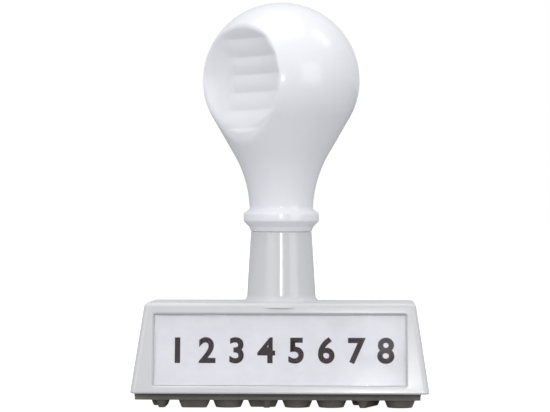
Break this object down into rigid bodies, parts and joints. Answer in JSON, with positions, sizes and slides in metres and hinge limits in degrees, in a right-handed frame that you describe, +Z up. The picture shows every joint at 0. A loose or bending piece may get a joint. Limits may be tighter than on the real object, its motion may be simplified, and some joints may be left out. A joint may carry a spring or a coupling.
{
  "type": "hand stamp",
  "caption": "Plastic hand stamp: ball handle with a ribbed thumb recess, hollow mount with a label window, and a raised rubber die on foam tape.",
  "frame": {"origin": "centre of the stamp's footprint, at the printing face of the rubber die", "axes": "+Z up through the handle, +X along the line of print from its first character to its last, -Y out of the label window towards the user"},
  "size_m": [0.0614, 0.0328, 0.0848],
  "materials": {
    "plastic_shell": "glossy moulded white",
    "plastic_base": "glossy moulded white",
    "plastic_plate": "fine spark-eroded texture",
    "label_paper": "printed pale card",
    "clear_cover": "clear polished plastic",
    "foam": "closed-cell foam tape",
    "die_rubber": "engraved grey-olive rubber",
    "zinc_steel": "bright zinc plated"
  },
  "bodies": {
    "stamp": {"handle_front_shell": "plastic_shell", "handle_rear_shell": "plastic_shell", "handle_screw": "zinc_steel", "screw_washer": "zinc_steel", "handle_nut": "zinc_steel", "mount_housing": "plastic_base", "bottom_plate": "plastic_plate", "label_card": "label_paper", "foam_tape": "foam", "rubber_die": "die_rubber"},
    "label_cover": {"label_cover": "clear_cover"}
  },
  "joints": [
    {"name": "cover_pull", "type": "slide", "parent": "stamp", "child": "label_cover", "axis": [0, -0.9904, 0.1381], "range_m": [0, 0.015]}
  ]
}
